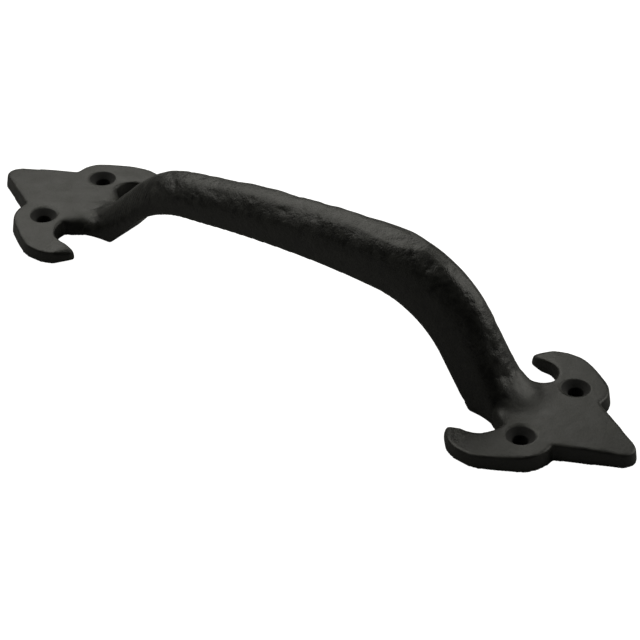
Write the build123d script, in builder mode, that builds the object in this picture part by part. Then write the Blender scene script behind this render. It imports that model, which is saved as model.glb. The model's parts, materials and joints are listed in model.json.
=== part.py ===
"""Black iron bow pull handle with fleur-de-lis ends.

A hammered bow grip springs from two smooth end plates. Each plate ends in a
spade-shaped leaf and has a curl on each side, swept back towards the grip, with
a countersunk screw hole in the root of each curl. The handle screws flat onto a
door, gate or shutter. The grip is hand forged and uneven: it is lowest and
thinnest at its left end, and highest and thickest at its right end.

Frame: X runs along the handle, Z points away from the door, and the origin is
in the middle of the mounting face. Units are millimetres.
"""

import os
from math import radians, sqrt, tan

from build123d import *

# ---- overall ---------------------------------------------------------------
overall_length = 228.0      # leaf tip to leaf tip, a nine inch handle
hole_spacing_x = 173.4      # between the screw holes of the two ends
hole_spacing_y = 26.4       # between the two screw holes of one end

# ---- screw holes, for a No. 8 countersunk wood screw -------------------------
screw_hole_dia = 4.5
countersink_dia = 8.2
countersink_angle = 90.0

# ---- end plates --------------------------------------------------------------
plate_thickness = 5.4       # at the middle of the plate
plate_draft = 8.0           # lean of the side walls, degrees
crown_radius = 260.0        # the top is very slightly domed
boss_radius = 9.6           # rounded plate edge around each screw hole
curl_radius = 11.6          # outer edge of the side curl
curl_back = 9.2             # the curl's centre stands this far back from the hole
curl_out = 2.5              # and this far further out
notch_radius = 5.9          # round end of the notch between curl and grip
notch_back = 13.3           # the notch's centre stands this far back from the hole
curl_tip_round = 1.5
leaf_half_width = 11.8      # where the leaf meets the curls
leaf_tip_round = 4.0

# ---- bow grip: heights are of its straight lines, before the knees are rounded --
grip_width = 14.0
grip_edge_round = 6.2       # the two long edges of the top are rounded
foot_reach = 66.1           # from the middle to each foot's inner corner
middle_under = 26.0         # underside above the mounting face, in the middle
middle_depth = 13.1         # from there to the top
middle_radius = 380.0       # of the almost straight middle
left_knee_under = 19.1
left_knee_depth = 9.7
left_slope_under = 47.0     # slope of the left flank's underside, degrees
left_slope_top = 44.4
left_radius_under = 36.0
left_toe_out = 7.9          # the flank's top meets the plate this far past the foot
right_knee_under = 27.0
right_knee_depth = 15.6
right_slope_under = 56.0
right_slope_top = 59.8
right_radius_under = 28.0
right_toe_out = 11.3
knee_radius_top = 36.0
toe_radius = 15.0           # of the hollow where a flank runs out on its plate
split_reach = 75.0          # where the grip ends and the end plates begin

# ---- worked out from the above -------------------------------------------------
hole_x = hole_spacing_x / 2
hole_y = hole_spacing_y / 2
tip_x = overall_length / 2
leaf_x = hole_x + sqrt(boss_radius**2 - (hole_y - leaf_half_width) ** 2)
notch_x = hole_x - notch_back
notch_y = grip_width / 2 + notch_radius     # the notch runs into the side of the grip
curl_x = hole_x - curl_back
curl_y = hole_y + curl_out
crown_z = plate_thickness - crown_radius


def plate_top(x, y):
    """Height of the domed plate top over a point of the mounting face."""
    return crown_z + sqrt(crown_radius**2 - (x - hole_x) ** 2 - y**2)


def up_slope(reach, start_z, end_z, angle):
    """Reach of a flank line at end_z, when it leans inwards from reach at start_z."""
    return reach - (end_z - start_z) / tan(radians(angle))


hole_z = plate_top(hole_x, hole_y)
toe_z = plate_top(split_reach, 0)
sunk_z = -2 * grip_edge_round       # the blank runs on below the mounting face
left_knee_top = left_knee_under + left_knee_depth
right_knee_top = right_knee_under + right_knee_depth
left_toe_x = foot_reach + left_toe_out
right_toe_x = foot_reach + right_toe_out
end_x = right_toe_x + 2 * toe_radius / 3

# ---- the whole bow, before it is divided at the end plates ----------------------
with BuildPart() as bow_blank:
    with BuildSketch(Plane.XZ):
        with BuildLine():
            FilletPolyline(
                (-up_slope(foot_reach, 0, sunk_z, left_slope_under), sunk_z),
                (-up_slope(foot_reach, 0, left_knee_under, left_slope_under), left_knee_under),
                (0, middle_under),
                (up_slope(foot_reach, 0, right_knee_under, right_slope_under), right_knee_under),
                (up_slope(foot_reach, 0, sunk_z, right_slope_under), sunk_z),
                radius=[left_radius_under, middle_radius, right_radius_under],
            )
            FilletPolyline(
                (-end_x, toe_z),
                (-left_toe_x, toe_z),
                (-up_slope(left_toe_x, toe_z, left_knee_top, left_slope_top), left_knee_top),
                (0, middle_under + middle_depth),
                (up_slope(right_toe_x, toe_z, right_knee_top, right_slope_top), right_knee_top),
                (right_toe_x, toe_z),
                (end_x, toe_z),
                radius=[toe_radius, knee_radius_top, middle_radius, knee_radius_top, toe_radius],
            )
            for end, slope_under in ((-1, left_slope_under), (1, right_slope_under)):
                Polyline(
                    (end * up_slope(foot_reach, 0, sunk_z, slope_under), sunk_z),
                    (end * end_x, sunk_z),
                    (end * end_x, toe_z),
                )
        make_face()
    extrude(amount=grip_width / 2, both=True)
    top_faces = faces().filter_by(lambda face: face.normal_at().Z > 0.1)
    fillet(top_faces.edges().filter_by(lambda edge: edge.center().Y != 0), grip_edge_round)
    split(bisect_by=Plane.XY, keep=Keep.TOP)

right_cut = Plane.YZ.offset(split_reach)
left_cut = Plane.YZ.offset(-split_reach)

# ---- plate blank: leaf, two curls and two screw holes, for the right end --------
with BuildPart() as plate_blank:
    with BuildSketch() as outline:
        with Locations((tip_x - leaf_tip_round, 0)):
            Circle(leaf_tip_round)
        with Locations(((split_reach + leaf_x) / 2, 0)):
            Rectangle(leaf_x - split_reach, 2 * leaf_half_width)
        make_hull(outline.edges())
        for side in (1, -1):
            with BuildSketch(mode=Mode.PRIVATE) as lobe:
                with Locations((hole_x, side * hole_y)):
                    Circle(boss_radius)
                with Locations((curl_x, side * curl_y)):
                    Circle(curl_radius)
                make_hull(lobe.edges())
            add(lobe.sketch)
        with Locations((notch_x, notch_y), (notch_x, -notch_y)):
            Circle(notch_radius, mode=Mode.SUBTRACT)
        with Locations((notch_x, 0)):
            Rectangle(
                2 * curl_radius,
                2 * (notch_y + notch_radius),
                align=(Align.MAX, Align.CENTER),
                mode=Mode.SUBTRACT,
            )
        with Locations((split_reach, 0)):
            Rectangle(
                2 * curl_radius,
                2 * notch_y,
                align=(Align.MAX, Align.CENTER),
                mode=Mode.SUBTRACT,
            )
        fillet(outline.vertices().group_by(Axis.X)[0], curl_tip_round)
    extrude(amount=plate_thickness, taper=plate_draft)
    with Locations((hole_x, 0, crown_z)):
        Sphere(crown_radius, mode=Mode.INTERSECT)
    with Locations((hole_x, hole_y, hole_z), (hole_x, -hole_y, hole_z)):
        CounterSinkHole(
            radius=screw_hole_dia / 2,
            counter_sink_radius=countersink_dia / 2,
            counter_sink_angle=countersink_angle,
        )

# ---- grip bar: the bow between the two end plates -------------------------------
with BuildPart() as grip_bar:
    add(bow_blank.part)
    split(bisect_by=right_cut, keep=Keep.BOTTOM)
    split(bisect_by=left_cut, keep=Keep.TOP)
grip_bar.part.label = "grip_bar"

# ---- end plates: each carries the toe of its end of the bow ---------------------
with BuildPart() as right_end_plate:
    add(plate_blank.part)
    split(bow_blank.part, bisect_by=right_cut, keep=Keep.TOP, mode=Mode.ADD)
right_end_plate.part.label = "right_end_plate"

with BuildPart() as left_end_plate:
    mirror(plate_blank.part, about=Plane.YZ)
    split(bow_blank.part, bisect_by=left_cut, keep=Keep.BOTTOM, mode=Mode.ADD)
left_end_plate.part.label = "left_end_plate"

os.makedirs("parts", exist_ok=True)
export_step(grip_bar.part, "parts/grip_bar.step")
export_step(right_end_plate.part, "parts/right_end_plate.step")
export_step(left_end_plate.part, "parts/left_end_plate.step")
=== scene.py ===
"""Black iron bow pull handle with a hammered grip and fleur-de-lis end plates.

The handle is softened and hammered as one casting, then divided into its grip and its two
end plates, and the four countersunk screw holes are cut. Sizes are in metres.
"""

import json
from math import cos, radians, sin

import bmesh
import bpy
import numpy as np
from mathutils import Matrix, Vector
from mathutils.kdtree import KDTree


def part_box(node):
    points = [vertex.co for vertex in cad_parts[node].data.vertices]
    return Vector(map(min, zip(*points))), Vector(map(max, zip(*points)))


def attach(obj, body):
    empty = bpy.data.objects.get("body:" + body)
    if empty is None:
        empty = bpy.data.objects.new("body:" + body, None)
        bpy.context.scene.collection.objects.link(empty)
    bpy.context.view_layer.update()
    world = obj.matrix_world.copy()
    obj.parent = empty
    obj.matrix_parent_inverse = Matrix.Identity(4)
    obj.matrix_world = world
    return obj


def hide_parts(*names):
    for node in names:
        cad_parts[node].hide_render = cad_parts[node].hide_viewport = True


bl_info = {
    "name": "Bow Pull Handle",
    "version": (1, 0, 0),
    "blender": (4, 5, 0),
    "location": "3D View > Sidebar > Handle",
    "description": "Builds a hammered iron bow pull handle around its packed CAD model",
    "category": "Add Mesh",
}

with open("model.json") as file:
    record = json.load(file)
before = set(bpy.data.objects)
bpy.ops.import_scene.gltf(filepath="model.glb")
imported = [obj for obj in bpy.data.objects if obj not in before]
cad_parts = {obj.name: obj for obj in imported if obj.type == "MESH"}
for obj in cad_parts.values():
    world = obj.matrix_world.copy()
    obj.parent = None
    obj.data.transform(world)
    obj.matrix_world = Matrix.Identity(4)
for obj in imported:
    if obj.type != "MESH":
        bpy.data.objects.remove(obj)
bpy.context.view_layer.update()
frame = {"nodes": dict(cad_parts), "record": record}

SCREWS = next(m["dims"] for m in frame["record"]["mounts"] if m["name"] == "screw_holes")
HOLE_X = SCREWS["spacing_x_mm"] / 2000
HOLE_Y = SCREWS["spacing_y_mm"] / 2000
GRIP_LOW, GRIP_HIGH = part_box("grip_bar")
MM = 0.001

CASTING = "whole_casting"

# Each softbox: name, azimuth and height in degrees, distance, size and power.
SOFTBOXES = (
    ("back_softbox", 132, 38, 1.5, 1.0, 4.9),
    ("left_softbox", 187, 52, 1.4, 1.2, 8.5),
    ("right_softbox", 58, 30, 1.5, 1.2, 9.0),
)
LAMP_COLOUR = (1.0, 0.985, 0.91)
SKY_SEEN = (1.0, 1.0, 1.0, 1)
SKY_MIRRORED = (0.02, 0.02, 0.02, 1)
BLACK = (0, 0, 0, 1)
PAPER_SHADE = 0.36
PAPER_GLOW = 1.2
FLOOR_HALF = 6.0
FLOOR_DROP = 0.02 * MM

CAMERA_AZIMUTH, CAMERA_HEIGHT, CAMERA_ROLL = radians(39.38), radians(35.51), radians(-0.84)
CAMERA_DISTANCE = 0.67666
CAMERA_ACROSS, CAMERA_UP = -0.80 * MM, -2.93 * MM
CAMERA_LENS = 132.81
CAMERA_SHIFT = (0.0427, 0.0014)


# ---- sizes and colours that a user would change ---------------------------------


class HandleSizes(bpy.types.PropertyGroup):
    """Sizes of the handle's surface detail and screw holes."""

    mesh_step: bpy.props.FloatProperty(
        name="Mesh Step", description="Distance between mesh points", default=0.42 * MM,
        min=0.25 * MM, max=2 * MM, precision=5, subtype="DISTANCE", unit="LENGTH",
    )
    edge_softness: bpy.props.IntProperty(
        name="Edge Softness", description="Smoothing passes that round the cast edges",
        default=7, min=0, max=40,
    )
    dent_size: bpy.props.FloatProperty(
        name="Dent Size", description="Distance between hammer dents on the grip",
        default=5.2 * MM, precision=4, subtype="DISTANCE", unit="LENGTH",
    )
    dent_depth: bpy.props.FloatProperty(
        name="Dent Depth", description="Depth of the hammer dents", default=0.42 * MM,
        precision=5, subtype="DISTANCE", unit="LENGTH",
    )
    pit_size: bpy.props.FloatProperty(
        name="Pit Size", description="Distance between the small pits of the rough patches",
        default=3.0 * MM, precision=4, subtype="DISTANCE", unit="LENGTH",
    )
    pit_depth: bpy.props.FloatProperty(
        name="Pit Depth", description="Depth of the small pits", default=0.2 * MM,
        precision=5, subtype="DISTANCE", unit="LENGTH",
    )
    grip_fill: bpy.props.FloatProperty(
        name="Grip Fill", description="Extra thickness that the hammered coat gives the grip",
        default=0.5 * MM, precision=5, subtype="DISTANCE", unit="LENGTH",
    )
    seed: bpy.props.IntProperty(
        name="Seed", description="Pattern of the hammer dents", default=7, min=0,
    )
    left_narrowing: bpy.props.FloatProperty(
        name="Left Narrowing", description="How much narrower the grip is at its left knee",
        default=0.07, min=0, max=0.4, subtype="FACTOR",
    )
    crown_narrowing: bpy.props.FloatProperty(
        name="Crown Narrowing", description="How much narrower the grip is at its top",
        default=0.2, min=0, max=0.4, subtype="FACTOR",
    )
    base_widening: bpy.props.FloatProperty(
        name="Base Widening", description="How much wider the grip is along its underside",
        default=0.035, min=0, max=0.2, subtype="FACTOR",
    )
    throat_flare: bpy.props.FloatProperty(
        name="Throat Flare", description="How far the throat swells beside the root of the grip",
        default=2.0 * MM, precision=5, subtype="DISTANCE", unit="LENGTH",
    )
    curl_bulge: bpy.props.FloatProperty(
        name="Curl Bulge", description="How far the curls swell outwards beside their holes",
        default=0.6 * MM, precision=5, subtype="DISTANCE", unit="LENGTH",
    )
    head_diameter: bpy.props.FloatProperty(
        name="Screw Head", description="Width of the countersinks at the plate's face",
        default=8.2 * MM, precision=4, subtype="DISTANCE", unit="LENGTH",
    )
    hole_diameter: bpy.props.FloatProperty(
        name="Screw Hole", description="Diameter of the holes through the plates",
        default=2 * SCREWS["hole_r_mm"] * MM, precision=4, subtype="DISTANCE", unit="LENGTH",
    )


class IronColours(bpy.types.PropertyGroup):
    """Colours of the black finish, and of the painted shade in its dents and screw holes."""

    paint: bpy.props.FloatVectorProperty(
        name="Paint", description="Satin black paint", default=(0.0065, 0.0067, 0.0056),
        min=0, max=1, size=3, subtype="COLOR",
    )
    worn: bpy.props.FloatVectorProperty(
        name="Rubbed Paint", description="Paint on the high spots, rubbed paler",
        default=(0.04, 0.041, 0.035), min=0, max=1, size=3, subtype="COLOR",
    )
    # Painted shade: this darker colour stands in for the shade in the dents and the screw holes.
    hollow_shade: bpy.props.FloatVectorProperty(
        name="Painted Shade", description="Painted shade in the dents and screw holes", default=(0.003, 0.003, 0.0026),
        min=0, max=1, size=3, subtype="COLOR",
    )
    floor: bpy.props.FloatVectorProperty(
        name="Floor", description="Plain pale floor", default=(0.86, 0.86, 0.855),
        min=0, max=1, size=3, subtype="COLOR",
    )


# ---- small helpers for node trees ------------------------------------------------


class Tree:
    """Adds nodes to a geometry or shader tree, each linked to what feeds it."""

    def __init__(self, tree):
        self.tree = tree

    def add(self, kind, inputs=(), **settings):
        """A new node with its settings, and its inputs linked or set."""
        node = self.tree.nodes.new(kind)
        for name, value in settings.items():
            setattr(node, name, value)
        for key, value in dict(inputs).items():
            self.feed(node.inputs[key], value)
        return node

    def feed(self, socket, value):
        """Links the socket to a node or to an output socket, or sets its value."""
        if isinstance(value, bpy.types.Node):
            value = next(out for out in value.outputs if out.enabled)
        if isinstance(value, bpy.types.NodeSocket):
            self.tree.links.new(value, socket)
        else:
            socket.default_value = value

    def math(self, operation, *values):
        """A Math node over one to three values."""
        return self.add("ShaderNodeMath", enumerate(values), operation=operation)

    def ramp(self, value, start, end, low=0.0, high=1.0):
        """Smoothly from low at start to high at end. start may be the larger of the two."""
        swap = start > end
        node = self.add(
            "ShaderNodeMapRange",
            {"Value": value, "From Min": end if swap else start, "From Max": start if swap else end,
             "To Min": high if swap else low, "To Max": low if swap else high},
            interpolation_type="SMOOTHSTEP",
        )
        return node.outputs["Result"]


def new_group(name, kind, sockets):
    """A node group with named sockets, given as (name, in or out, kind, default)."""
    group = bpy.data.node_groups.new(name, kind)
    for label, way, socket_kind, default in sockets:
        socket = group.interface.new_socket(label, in_out=way, socket_type=socket_kind)
        if default is not None:
            socket.default_value = default
    return group


def run_nodes(piece, group, values):
    """The mesh that a Geometry Nodes group makes of a piece, with its named inputs set."""
    modifier = piece.modifiers.new(group.name, "NODES")
    modifier.node_group = group
    for item in group.interface.items_tree:
        if item.in_out == "INPUT" and item.name in values:
            modifier[item.identifier] = values[item.name]
    piece.update_tag()
    return evaluated_mesh(piece)


def evaluated_mesh(piece):
    """A plain mesh of the piece with its modifiers applied."""
    graph = bpy.context.evaluated_depsgraph_get()
    graph.update()
    return bpy.data.meshes.new_from_object(piece.evaluated_get(graph), depsgraph=graph)


def new_piece(name, mesh):
    """An object at the origin that shows the mesh."""
    piece = bpy.data.objects.new(name, mesh)
    bpy.context.scene.collection.objects.link(piece)
    return piece


# ---- the casting, before it is divided -------------------------------------------


def plate_height(node, x, y):
    """Height of a CAD node's top over a point of the mounting face."""
    hit, place, _, _ = frame["nodes"][node].ray_cast(Vector((x, y, 1)), Vector((0, 0, -1)))
    if not hit:
        raise RuntimeError(f"{node} has no surface over {x:.4f}, {y:.4f}")
    return place.z


def plain_blank(sizes):
    """The three CAD solids in one mesh, with their screw holes plugged."""
    blank = bmesh.new()
    for node in ("grip_bar", "right_end_plate", "left_end_plate"):
        blank.from_mesh(frame["nodes"][node].data)
    bmesh.ops.remove_doubles(blank, verts=blank.verts, dist=0.001 * MM)
    plug_radius = sizes.head_diameter / 2 + 0.4 * MM
    for end, node in ((1, "right_end_plate"), (-1, "left_end_plate")):
        for side in (1, -1):
            plug = bmesh.ops.create_cone(
                blank, cap_ends=True, segments=40, radius1=plug_radius, radius2=plug_radius,
                depth=2 * MM, matrix=Matrix.Translation((end * HOLE_X, side * HOLE_Y, MM)),
            )
            for vertex in plug["verts"]:
                if vertex.co.z > MM:
                    vertex.co.z = plate_height(node, vertex.co.x, vertex.co.y)
    mesh = bpy.data.meshes.new("blank")
    blank.to_mesh(mesh)
    blank.free()
    return mesh


def smooth_step(value, start, end):
    """From 0 at start to 1 at end, with level ends."""
    share = np.clip((value - start) / (end - start), 0, 1)
    return share * share * (3 - 2 * share)


def section_heights(points):
    """Lowest and highest point of the grip at each point's place along the handle."""
    bins = np.round(points[:, 0] / MM).astype(int)
    bins -= bins.min()
    low = np.full(bins.max() + 1, np.inf)
    high = np.full(bins.max() + 1, -np.inf)
    np.minimum.at(low, bins, points[:, 2])
    np.maximum.at(high, bins, points[:, 2])
    return low[bins], high[bins]


def blend_roots(piece):
    """Smooths the hollows where the grip runs out on its two end plates, and the curls' tips."""
    root = piece.vertex_groups.new(name="root")
    for vertex in piece.data.vertices:
        past = (abs(vertex.co.x) - GRIP_HIGH.x) / MM
        aside = abs(vertex.co.y) / MM
        blended = smooth_step(past, -12, -2) * smooth_step(past, 17, 8) * smooth_step(aside, 13, 8)
        blended *= vertex.co.z > 2 * MM
        tip = 0.5 * smooth_step(past, -3, -7) * smooth_step(aside, 15, 18)
        if blended + tip > 0:
            root.add([vertex.index], float(blended + tip), "REPLACE")
    blend = piece.modifiers.new("blended roots", "SMOOTH")
    blend.vertex_group = root.name
    blend.factor = 0.8
    blend.iterations = 140
    mesh = evaluated_mesh(piece)
    piece.modifiers.clear()
    piece.vertex_groups.clear()
    return mesh


def shape_grip(mesh, sizes):
    """Narrows the grip at its left knee and top, and flares its underside, throats and curls."""
    points = np.empty(len(mesh.vertices) * 3)
    mesh.vertices.foreach_get("co", points)
    points = points.reshape(-1, 3)
    along = points[:, 0]
    aside = np.abs(points[:, 1])
    on_grip = smooth_step(np.abs(along), 74 * MM, 60 * MM) * smooth_step(aside, 12 * MM, 8.5 * MM)
    left = smooth_step(along, 30 * MM, -42 * MM)
    points[:, 1] *= 1 - sizes.left_narrowing * left * on_grip
    low, high = section_heights(points)
    share = (points[:, 2] - low) / np.maximum(high - low, MM)
    points[:, 1] *= 1 - sizes.crown_narrowing * smooth_step(share, 0.3, 0.95) * on_grip
    points[:, 1] *= 1 + sizes.base_widening * smooth_step(share, 0.6, 0.0) * on_grip
    at_throat = np.exp(-(((np.abs(along) - GRIP_HIGH.x - 3 * MM) / (5.5 * MM)) ** 2))
    throat = 7 * MM
    flare = sizes.throat_flare * at_throat * smooth_step(aside, 13 * MM, throat)
    points[:, 1] += points[:, 1] / throat * flare
    beside_hole = np.exp(-(((np.abs(along) - HOLE_X + 2 * MM) / (6 * MM)) ** 2))
    outer = smooth_step(aside, HOLE_Y + 3 * MM, HOLE_Y + 10 * MM)
    bulge = sizes.curl_bulge * beside_hole * outer
    points[:, 1] += np.sign(points[:, 1]) * bulge
    clearance = 0.03 * MM
    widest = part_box("right_end_plate")[1].y - clearance
    points[:, 1] = np.clip(points[:, 1], -widest, widest)
    mesh.vertices.foreach_set("co", points.ravel())
    mesh.update()


def hammer_group():
    """Geometry Nodes: thickens the grip, dents and pits its top, and makes all softly uneven."""
    group = new_group("Hammered casting", "GeometryNodeTree", (
        ("Geometry", "INPUT", "NodeSocketGeometry", None),
        ("Dent Size", "INPUT", "NodeSocketFloat", 0.005),
        ("Dent Depth", "INPUT", "NodeSocketFloat", 0.0005),
        ("Pit Size", "INPUT", "NodeSocketFloat", 0.002),
        ("Pit Depth", "INPUT", "NodeSocketFloat", 0.0003),
        ("Fill", "INPUT", "NodeSocketFloat", 0.0005),
        ("Grip Reach", "INPUT", "NodeSocketFloat", 0.075),
        ("Crest", "INPUT", "NodeSocketFloat", 0.04),
        ("Seed", "INPUT", "NodeSocketInt", 0),
        ("Finish", "INPUT", "NodeSocketMaterial", None),
        ("Geometry", "OUTPUT", "NodeSocketGeometry", None),
    ))
    t = Tree(group)
    given = t.add("NodeGroupInput").outputs
    place = t.add("GeometryNodeInputPosition")
    facing = t.add("ShaderNodeSeparateXYZ", {0: t.add("GeometryNodeInputNormal")})
    where = t.add("ShaderNodeSeparateXYZ", {0: place})
    reach = t.math("ABSOLUTE", where.outputs["X"])
    past_root = t.math("SUBTRACT", reach, given["Grip Reach"])
    on_grip = t.ramp(past_root, 0.011, -0.001)
    near_middle = t.ramp(t.math("ABSOLUTE", where.outputs["Y"]), 0.0125, 0.0085)
    on_grip = t.math("MULTIPLY", on_grip, near_middle)
    not_side = t.ramp(t.math("ABSOLUTE", facing.outputs["Y"]), 0.97, 0.72)
    not_under = t.ramp(facing.outputs["Z"], -0.05, 0.3)
    top = t.math("MULTIPLY", t.math("MULTIPLY", not_side, not_under), on_grip)

    drift = t.math("MULTIPLY", given["Seed"], 0.37)
    shifted = t.add("ShaderNodeVectorMath", {0: place, 1: drift}, operation="ADD")
    warp = t.add("ShaderNodeTexNoise", {"Vector": shifted, "Scale": 150.0, "Detail": 1.0})
    warped = t.add(
        "ShaderNodeVectorMath", {0: warp.outputs["Color"], 1: (0.004, 0.004, 0.004), 2: shifted},
        operation="MULTIPLY_ADD",
    )
    stretched = t.add(
        "ShaderNodeVectorMath", {0: warped, 1: (0.72, 1.0, 1.0)}, operation="MULTIPLY",
    )
    dents = t.add(
        "ShaderNodeTexVoronoi",
        {"Vector": stretched, "Scale": t.math("DIVIDE", 1.0, given["Dent Size"]),
         "Smoothness": 1.0},
        feature="SMOOTH_F1",
    )
    strength = t.add("ShaderNodeTexNoise", {"Vector": shifted, "Scale": 95.0, "Detail": 1.0})
    dent_share = t.ramp(strength.outputs["Fac"], 0.35, 0.65, 0.25, 1.25)
    dent = t.math("MULTIPLY", t.math("SUBTRACT", dents.outputs["Distance"], 0.66), dent_share)
    dent = t.math("MULTIPLY", t.math("MULTIPLY", dent, given["Dent Depth"]), 1.4)

    swell = t.add("ShaderNodeTexNoise", {"Vector": shifted, "Scale": 62.0, "Detail": 2.0})
    swelling = t.math("SUBTRACT", swell.outputs["Fac"], 0.6)
    swelling = t.math("MULTIPLY", t.math("MULTIPLY", swelling, given["Dent Depth"]), 2.0)

    pits = t.add(
        "ShaderNodeTexNoise",
        {"Vector": warped, "Scale": t.math("DIVIDE", 1.0, given["Pit Size"]), "Detail": 1.0},
    )
    rough = t.add("ShaderNodeTexNoise", {"Vector": shifted, "Scale": 120.0, "Detail": 2.0})
    right_flank = t.ramp(where.outputs["X"], 0.048, 0.062, 0.0, 0.12)
    left_knee = t.ramp(where.outputs["X"], -0.025, -0.045, 0.0, 0.05)
    roughness = t.math("ADD", rough.outputs["Fac"], t.math("ADD", right_flank, left_knee))
    patches = t.ramp(roughness, 0.42, 0.66)
    pit = t.math("MULTIPLY", t.ramp(pits.outputs["Fac"], 0.42, 0.75), patches)
    pit = t.math("MULTIPLY", t.math("MULTIPLY", pit, given["Pit Depth"]), -1.0)

    hammered = t.math("MULTIPLY", t.math("ADD", t.math("ADD", dent, swelling), pit), top)
    soft = t.add("ShaderNodeTexNoise", {"Vector": shifted, "Scale": 140.0, "Detail": 2.0})
    soft = t.math("MULTIPLY", t.math("SUBTRACT", soft.outputs["Fac"], 0.6), 0.00018)
    below_crest = t.math("SUBTRACT", given["Crest"], where.outputs["Z"])
    room = t.math("MULTIPLY", t.ramp(below_crest, 0.0002, 0.0015), on_grip)
    right_knee = t.ramp(where.outputs["X"], 0.015, 0.04, 0.5, 1.3)
    fill = t.math("MULTIPLY", t.math("MULTIPLY", room, right_knee), given["Fill"])
    height = t.math("ADD", t.math("ADD", hammered, soft), fill)
    offset = t.add(
        "ShaderNodeVectorMath", {0: t.add("GeometryNodeInputNormal"), "Scale": height},
        operation="SCALE",
    )
    moved = t.add("GeometryNodeSetPosition", {"Geometry": given["Geometry"], "Offset": offset})
    real = t.add("GeometryNodeRealizeInstances", {0: moved})
    done = t.add("GeometryNodeSetMaterial", {"Geometry": real, "Material": given["Finish"]})
    t.add("NodeGroupOutput", {0: done})
    return group


def whole_casting():
    """The whole handle in one closed mesh, softened and hammered. It is made only once."""
    if CASTING in bpy.data.meshes:
        return bpy.data.meshes[CASTING]
    sizes = bpy.context.scene.handle_sizes
    piece = new_piece("blank", plain_blank(sizes))
    remesh = piece.modifiers.new("even mesh", "REMESH")
    remesh.mode = "VOXEL"
    remesh.voxel_size = sizes.mesh_step
    soften = piece.modifiers.new("soft edges", "SMOOTH")
    soften.factor = 0.5
    soften.iterations = sizes.edge_softness
    even = evaluated_mesh(piece)
    shape_grip(even, sizes)
    piece.modifiers.clear()
    piece.data = even
    piece.data = blend_roots(piece)
    values = {
        "Dent Size": sizes.dent_size, "Dent Depth": sizes.dent_depth,
        "Pit Size": sizes.pit_size, "Pit Depth": sizes.pit_depth,
        "Fill": sizes.grip_fill, "Grip Reach": GRIP_HIGH.x, "Crest": GRIP_HIGH.z,
        "Seed": sizes.seed, "Finish": bpy.data.materials.new(CASTING),
    }
    casting = run_nodes(piece, hammer_group(), values)
    casting.name = CASTING
    for vertex in casting.vertices:
        vertex.co.z = max(vertex.co.z, 0)
    bpy.data.objects.remove(piece)
    return casting


def cut_casting(name, low, high):
    """The stretch of the casting between two places along the handle, closed at its cuts."""
    stretch = bmesh.new()
    stretch.from_mesh(whole_casting())
    for reach, outwards in ((low, -1), (high, 1)):
        if reach is None:
            continue
        every = stretch.verts[:] + stretch.edges[:] + stretch.faces[:]
        cut = bmesh.ops.bisect_plane(
            stretch, geom=every, plane_co=(reach, 0, 0), plane_no=(outwards, 0, 0),
            clear_outer=True,
        )["geom_cut"]
        rim = [item for item in cut if isinstance(item, bmesh.types.BMEdge)]
        caps = bmesh.ops.holes_fill(stretch, edges=rim)["faces"]
        bmesh.ops.triangulate(stretch, faces=caps)
    mesh = bpy.data.meshes.new(name)
    stretch.to_mesh(mesh)
    stretch.free()
    return mesh


def match_shading(mesh):
    """Gives the mesh the casting's own shading at its cuts, so that no seam shows there."""
    casting = whole_casting()
    tree = KDTree(len(casting.vertices))
    for vertex in casting.vertices:
        tree.insert(vertex.co, vertex.index)
    tree.balance()
    mesh.shade_smooth()
    mesh.set_sharp_from_angle(angle=radians(38))
    normals = [Vector(corner.vector) for corner in mesh.corner_normals]
    reach, at_cut = GRIP_HIGH.x, 0.01 * MM
    for face in mesh.polygons:
        if abs(face.normal.x) > 0.999 and abs(abs(face.center.x) - reach) < at_cut:
            continue
        for corner in face.loop_indices:
            place = mesh.vertices[mesh.loops[corner].vertex_index].co
            if abs(abs(place.x) - reach) < at_cut:
                near = tree.find_n(place, 4)
                weights = [1 / (distance + 0.02 * MM) for _, _, distance in near]
                total = Vector((0, 0, 0))
                for (_, index, _), weight in zip(near, weights):
                    total += casting.vertices[index].normal * weight
                normals[corner] = total.normalized()
    mesh.normals_split_custom_set(normals)


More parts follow.
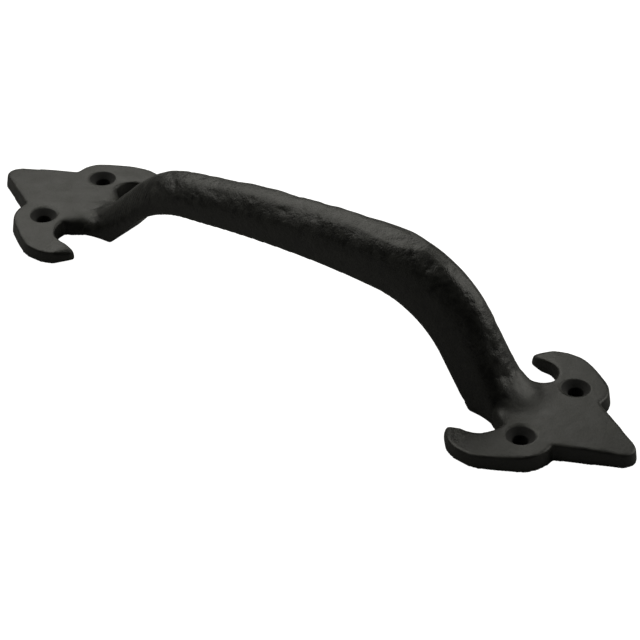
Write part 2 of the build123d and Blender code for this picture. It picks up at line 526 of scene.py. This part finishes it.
def drill_group():
    """Geometry Nodes: countersunk screw holes, cut at the corners of a rectangle."""
    group = new_group("Countersunk holes", "GeometryNodeTree", (
        ("Geometry", "INPUT", "NodeSocketGeometry", None),
        ("Spacing X", "INPUT", "NodeSocketFloat", 0.17),
        ("Spacing Y", "INPUT", "NodeSocketFloat", 0.025),
        ("Head Diameter", "INPUT", "NodeSocketFloat", 0.008),
        ("Hole Diameter", "INPUT", "NodeSocketFloat", 0.0045),
        ("Plate Height", "INPUT", "NodeSocketFloat", 0.005),
        ("Rim Round", "INPUT", "NodeSocketFloat", 0.0004),
        ("Finish", "INPUT", "NodeSocketMaterial", None),
        ("Geometry", "OUTPUT", "NodeSocketGeometry", None),
    ))
    t = Tree(group)
    given = t.add("NodeGroupInput").outputs
    corners = t.add(
        "GeometryNodeMeshGrid",
        {"Size X": given["Spacing X"], "Size Y": given["Spacing Y"],
         "Vertices X": 2, "Vertices Y": 2},
    )
    bit_radius = t.math("DIVIDE", given["Hole Diameter"], 2.0)
    head_radius = t.math("DIVIDE", given["Head Diameter"], 2.0)
    over = 0.001

    def cone(top_radius, slope):
        """A cone that reaches the plate's face at top_radius, slope wide for its height."""
        wide = t.math("MULTIPLY_ADD", over, slope, top_radius)
        depth = t.math("DIVIDE", wide, slope)
        shape = t.add(
            "GeometryNodeMeshCone",
            {"Vertices": 96, "Radius Top": wide, "Radius Bottom": 0.0, "Depth": depth},
        )
        top = t.math("ADD", given["Plate Height"], over)
        drop = t.add("ShaderNodeCombineXYZ", {"Z": t.math("SUBTRACT", top, depth)})
        return t.add(
            "GeometryNodeTransform", {"Geometry": shape.outputs["Mesh"], "Translation": drop},
        )

    bit = t.add(
        "GeometryNodeMeshCylinder", {"Vertices": 64, "Radius": bit_radius, "Depth": 0.03},
    )
    rim_radius = t.math("ADD", head_radius, given["Rim Round"])
    cutters = []
    for shape in (bit.outputs["Mesh"], cone(head_radius, 1.0), cone(rim_radius, 2.2)):
        copies = t.add(
            "GeometryNodeInstanceOnPoints", {"Points": corners.outputs["Mesh"], "Instance": shape},
        )
        cutters.append(t.add("GeometryNodeRealizeInstances", {0: copies}))
    drilled = t.add("GeometryNodeMeshBoolean", operation="DIFFERENCE", solver="EXACT")
    t.feed(drilled.inputs["Mesh 1"], given["Geometry"])
    for cutter in cutters:
        t.feed(drilled.inputs["Mesh 2"], cutter)
    real = t.add("GeometryNodeRealizeInstances", {0: drilled.outputs["Mesh"]})
    finish = t.add("GeometryNodeSetMaterial", {"Geometry": real, "Material": given["Finish"]})
    t.add("NodeGroupOutput", {0: finish})
    return group


# ---- finishes ---------------------------------------------------------------------


def paint_group():
    """Shader group: uneven black paint, paler on rubbed high spots, and darker in concave spots as
    painted shade.
    """
    name = "Black paint"
    if name in bpy.data.node_groups:
        return bpy.data.node_groups[name]
    group = new_group(name, "ShaderNodeTree", (
        ("Vector", "INPUT", "NodeSocketVector", None),
        ("Paint", "INPUT", "NodeSocketColor", (0.01, 0.01, 0.01, 1)),
        ("Rubbed", "INPUT", "NodeSocketColor", (0.05, 0.05, 0.05, 1)),
        ("Hollow Shade", "INPUT", "NodeSocketColor", (0.005, 0.005, 0.005, 1)),
        ("Mottle Size", "INPUT", "NodeSocketFloat", 0.004),
        ("Rubbing", "INPUT", "NodeSocketFloat", 0.5),
        ("Roughness", "INPUT", "NodeSocketFloat", 0.4),
        ("Colour", "OUTPUT", "NodeSocketColor", None),
        ("Roughness", "OUTPUT", "NodeSocketFloat", None),
    ))
    t = Tree(group)
    given = t.add("NodeGroupInput").outputs
    scale = t.math("DIVIDE", 1.0, given["Mottle Size"])
    mottle = t.add(
        "ShaderNodeTexNoise", {"Vector": given["Vector"], "Scale": scale, "Detail": 4.0},
    )
    curved = t.add("ShaderNodeNewGeometry").outputs["Pointiness"]
    high = t.ramp(curved, 0.50, 0.56)
    # Painted shade: concave spots, where pointiness is low, are darkened towards the shade colour.
    painted_shade_in_dents = t.math("MULTIPLY", t.ramp(curved, 0.49, 0.42), 0.6)
    patchy = t.ramp(mottle.outputs["Fac"], 0.3, 0.7)
    rubbed = t.math("MULTIPLY", t.math("MULTIPLY", high, patchy), given["Rubbing"])
    faded = t.math("MULTIPLY", patchy, 0.35)
    colour = t.add(
        "ShaderNodeMix", {0: faded, 6: given["Paint"], 7: given["Rubbed"]}, data_type="RGBA",
    )
    colour = t.add(
        "ShaderNodeMix", {0: rubbed, 6: colour.outputs[2], 7: given["Rubbed"]}, data_type="RGBA",
    )
    colour = t.add(
        "ShaderNodeMix", {0: painted_shade_in_dents, 6: colour.outputs[2], 7: given["Hollow Shade"]}, data_type="RGBA",
    )
    streak = t.math("MULTIPLY", t.math("SUBTRACT", mottle.outputs["Fac"], 0.5), 0.35)
    rough = t.math("ADD", t.math("ADD", given["Roughness"], streak), t.math("MULTIPLY", painted_shade_in_dents, 0.2))
    t.add("NodeGroupOutput", {0: colour.outputs[2], 1: rough})
    return group


def grain_group():
    """Shader group: height of the fine grain of cast iron under paint."""
    name = "Cast grain"
    if name in bpy.data.node_groups:
        return bpy.data.node_groups[name]
    group = new_group(name, "ShaderNodeTree", (
        ("Vector", "INPUT", "NodeSocketVector", None),
        ("Grain Size", "INPUT", "NodeSocketFloat", 0.0006),
        ("Ripple Size", "INPUT", "NodeSocketFloat", 0.003),
        ("Ripple", "INPUT", "NodeSocketFloat", 1.0),
        ("Height", "OUTPUT", "NodeSocketFloat", None),
    ))
    t = Tree(group)
    given = t.add("NodeGroupInput").outputs
    grain = t.add(
        "ShaderNodeTexNoise",
        {"Vector": given["Vector"], "Scale": t.math("DIVIDE", 1.0, given["Grain Size"]),
         "Detail": 3.0},
    )
    ripple = t.add(
        "ShaderNodeTexNoise",
        {"Vector": given["Vector"], "Scale": t.math("DIVIDE", 1.0, given["Ripple Size"]),
         "Detail": 2.0},
    )
    height = t.math("MULTIPLY_ADD", ripple.outputs["Fac"], given["Ripple"], grain.outputs["Fac"])
    t.add("NodeGroupOutput", {0: height})
    return group


def in_screw_hole(t, place, radius):
    """A mask that is 1 inside the four screw holes, from each point's distance to their axes."""
    folded = t.add("ShaderNodeVectorMath", {0: place}, operation="ABSOLUTE")
    aside = t.add(
        "ShaderNodeVectorMath", {0: folded, 1: (HOLE_X, HOLE_Y, 0)}, operation="SUBTRACT",
    )
    flat = t.add("ShaderNodeVectorMath", {0: aside, 1: (1, 1, 0)}, operation="MULTIPLY")
    away = t.add("ShaderNodeVectorMath", {0: flat}, operation="LENGTH").outputs["Value"]
    return t.ramp(away, radius + 0.3 * MM, radius - 0.3 * MM)


def iron_finish(name, mottle_size, rubbing, roughness, ripple, grain_depth, hole_radius=0):
    """Satin black paint over iron, from the shared paint and grain groups, with painted shade in
    the screw holes when their radius is given.
    """
    colours = bpy.context.scene.iron_colours
    material = bpy.data.materials.new(name)
    material.use_nodes = True
    t = Tree(material.node_tree)
    shader = material.node_tree.nodes["Principled BSDF"]
    place = t.add("ShaderNodeTexCoord").outputs["Object"]
    paint = t.add("ShaderNodeGroup", {}, node_tree=paint_group())
    for key, value in {
        "Vector": place, "Paint": (*colours.paint, 1), "Rubbed": (*colours.worn, 1),
        "Hollow Shade": (*colours.hollow_shade, 1), "Mottle Size": mottle_size, "Rubbing": rubbing,
        "Roughness": roughness,
    }.items():
        t.feed(paint.inputs[key], value)
    grain = t.add("ShaderNodeGroup", {}, node_tree=grain_group())
    for key, value in {"Vector": place, "Ripple": ripple}.items():
        t.feed(grain.inputs[key], value)
    bump = t.add(
        "ShaderNodeBump", {"Height": grain.outputs["Height"], "Distance": grain_depth},
    )
    colour, rough = paint.outputs["Colour"], paint.outputs["Roughness"]
    # Painted shade: the screw holes are darkened to the shade colour, and their raised roughness is
    # real.
    if hole_radius:
        hole = in_screw_hole(t, place, hole_radius)
        hollow_shade = (*colours.hollow_shade, 1)
        mix = t.add("ShaderNodeMix", {0: hole, 6: colour, 7: hollow_shade}, data_type="RGBA")
        colour = mix.outputs[2]
        rough = t.math("MAXIMUM", rough, t.math("MULTIPLY", hole, 0.85))
    t.feed(shader.inputs["Base Color"], colour)
    t.feed(shader.inputs["Roughness"], rough)
    t.feed(shader.inputs["Normal"], bump.outputs["Normal"])
    shader.inputs["Specular IOR Level"].default_value = 0.5
    return material


# ---- operators ----------------------------------------------------------------------


class HANDLE_OT_grip(bpy.types.Operator):
    """Make the hammered grip"""

    bl_idname = "handle.grip"
    bl_label = "Hammered Grip"

    def execute(self, context):
        mesh = cut_casting("hammered_grip", GRIP_LOW.x, GRIP_HIGH.x)
        match_shading(mesh)
        finish = iron_finish(
            "hammered_iron", mottle_size=2.6 * MM, rubbing=0.9, roughness=0.42, ripple=3.0,
            grain_depth=0.09 * MM,
        )
        mesh.materials.append(finish)
        grip = new_piece("hammered_grip", mesh)
        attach(grip, "root")
        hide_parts("grip_bar")
        return {"FINISHED"}


class HANDLE_OT_end_plates(bpy.types.Operator):
    """Make the two fleur-de-lis end plates with their screw holes"""

    bl_idname = "handle.end_plates"
    bl_label = "End Plates"

    def execute(self, context):
        sizes = context.scene.handle_sizes
        finish = iron_finish(
            "plate_iron", mottle_size=5.0 * MM, rubbing=0.6, roughness=0.45, ripple=2.5,
            grain_depth=0.035 * MM, hole_radius=sizes.head_diameter / 2,
        )
        group = drill_group()
        for name, node, low, high in (
            ("right_fleur_plate", "right_end_plate", GRIP_HIGH.x, None),
            ("left_fleur_plate", "left_end_plate", None, GRIP_LOW.x),
        ):
            end = 1 if high is None else -1
            piece = new_piece(name, cut_casting(name, low, high))
            beside_hole = end * (HOLE_X + sizes.head_diameter / 2 + 0.5 * MM)
            height = plate_height(node, beside_hole, HOLE_Y)
            values = {
                "Spacing X": 2 * HOLE_X, "Spacing Y": 2 * HOLE_Y, "Plate Height": height,
                "Head Diameter": sizes.head_diameter, "Hole Diameter": sizes.hole_diameter,
                "Finish": finish,
            }
            mesh = run_nodes(piece, group, values)
            piece.modifiers.clear()
            piece.data = mesh
            match_shading(mesh)
            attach(piece, "root")
            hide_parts(node)
        return {"FINISHED"}


class HANDLE_OT_stage(bpy.types.Operator):
    """Make the pale floor, the studio lights and the camera"""

    bl_idname = "handle.stage"
    bl_label = "Studio Stage"

    def execute(self, context):
        scene = context.scene
        half = FLOOR_HALF
        floor_mesh = bpy.data.meshes.new("floor")
        floor_mesh.from_pydata(
            [(-half, -half, 0), (half, -half, 0), (half, half, 0), (-half, half, 0)],
            [], [(0, 1, 2, 3)],
        )
        floor = new_piece("floor", floor_mesh)
        floor.location.z = -FLOOR_DROP
        floor_mesh.materials.append(floor_paper(scene.iron_colours.floor))
        light_studio(scene)
        place_camera(scene)
        return {"FINISHED"}


def seen_or_mirrored(t, seen, mirrored):
    """One colour where the floor or sky is looked at, and another where it lights the iron."""
    sight = t.add("ShaderNodeLightPath").outputs["Is Camera Ray"]
    return t.add("ShaderNodeMix", {0: sight, 6: mirrored, 7: seen}, data_type="RGBA").outputs[2]


def floor_paper(colour):
    """Matt paper, white to the camera, that throws little light back up at the handle, with a
    painted shadow under the screw holes.
    """
    paper = bpy.data.materials.new("floor_paper")
    paper.use_nodes = True
    t = Tree(paper.node_tree)
    surface = paper.node_tree.nodes["Principled BSDF"]
    dim = tuple(PAPER_SHADE * part for part in colour)
    glow = tuple(PAPER_GLOW * part for part in colour)
    surface.inputs["Base Color"].default_value = (*dim, 1)
    seen = seen_or_mirrored(t, (*glow, 1), BLACK)
    place = t.add("ShaderNodeTexCoord").outputs["Object"]
    # Painted shadow: the floor's glow is turned off within 4 mm of the screw-hole axes, so no light
    # shows through the holes.
    painted_hole_shadow = in_screw_hole(t, place, 4 * MM)
    lit = t.add("ShaderNodeMix", {0: painted_hole_shadow, 6: seen, 7: BLACK}, data_type="RGBA")
    t.feed(surface.inputs["Emission Color"], lit.outputs[2])
    surface.inputs["Emission Strength"].default_value = 1.0
    surface.inputs["Roughness"].default_value = 0.9
    surface.inputs["Specular IOR Level"].default_value = 0.0
    return paper


def light_studio(scene):
    """Softboxes behind the handle and to both sides, and a dark room."""
    world = bpy.data.worlds.new("studio")
    scene.world = world
    world.use_nodes = True
    t = Tree(world.node_tree)
    back = world.node_tree.nodes["Background"]
    t.feed(back.inputs["Color"], seen_or_mirrored(t, SKY_SEEN, SKY_MIRRORED))
    scene.view_settings.view_transform = "Standard"
    for name, azimuth, height, distance, size, power in SOFTBOXES:
        light = bpy.data.lights.new(name, "AREA")
        light.shape = "SQUARE"
        light.size = size
        light.energy = power
        light.color = LAMP_COLOUR
        lamp = bpy.data.objects.new(name, light)
        scene.collection.objects.link(lamp)
        turn, lift = radians(azimuth), radians(height)
        lamp.location = distance * Vector(
            (cos(lift) * cos(turn), cos(lift) * sin(turn), sin(lift))
        )
        lamp.rotation_euler = lamp.location.to_track_quat("Z", "Y").to_euler()


def place_camera(scene):
    """A long lens over the near right corner of the handle."""
    azimuth, height, roll = CAMERA_AZIMUTH, CAMERA_HEIGHT, CAMERA_ROLL
    back = Vector((sin(azimuth) * cos(height), -cos(azimuth) * cos(height), sin(height)))
    right = Vector((cos(azimuth), sin(azimuth), 0))
    up = back.cross(right)
    across = cos(roll) * right + sin(roll) * up
    upward = -sin(roll) * right + cos(roll) * up
    lens = bpy.data.cameras.new("camera")
    lens.lens = CAMERA_LENS
    lens.sensor_width = 36.0
    lens.shift_x, lens.shift_y = CAMERA_SHIFT
    lens.clip_start = 0.01
    camera = bpy.data.objects.new("camera", lens)
    scene.collection.objects.link(camera)
    spot = back * CAMERA_DISTANCE + CAMERA_ACROSS * across + CAMERA_UP * upward
    turned = Matrix((across, upward, back)).transposed().to_4x4()
    camera.matrix_world = Matrix.Translation(spot) @ turned
    bpy.context.scene.camera = camera


class HANDLE_PT_panel(bpy.types.Panel):
    """Lists the handle's pieces and settings"""

    bl_label = "Bow Pull Handle"
    bl_space_type = "VIEW_3D"
    bl_region_type = "UI"
    bl_category = "Handle"

    def draw(self, context):
        column = self.layout.column()
        for group in (context.scene.handle_sizes, context.scene.iron_colours):
            for name in group.__annotations__:
                column.prop(group, name)
        for name in ("handle.grip", "handle.end_plates", "handle.stage"):
            column.operator(name)


CLASSES = (
    HandleSizes, IronColours, HANDLE_OT_grip, HANDLE_OT_end_plates, HANDLE_OT_stage,
    HANDLE_PT_panel,
)


def register():
    for entry in CLASSES:
        bpy.utils.register_class(entry)
    bpy.types.Scene.handle_sizes = bpy.props.PointerProperty(type=HandleSizes)
    bpy.types.Scene.iron_colours = bpy.props.PointerProperty(type=IronColours)


def unregister():
    del bpy.types.Scene.iron_colours
    del bpy.types.Scene.handle_sizes
    for entry in reversed(CLASSES):
        bpy.utils.unregister_class(entry)


def main():
    register()
    bpy.ops.handle.grip()
    bpy.ops.handle.end_plates()
    bpy.ops.handle.stage()
    bpy.data.meshes.remove(bpy.data.meshes[CASTING])
    bpy.data.materials.remove(bpy.data.materials[CASTING])


if __name__ == "__main__":
    main()
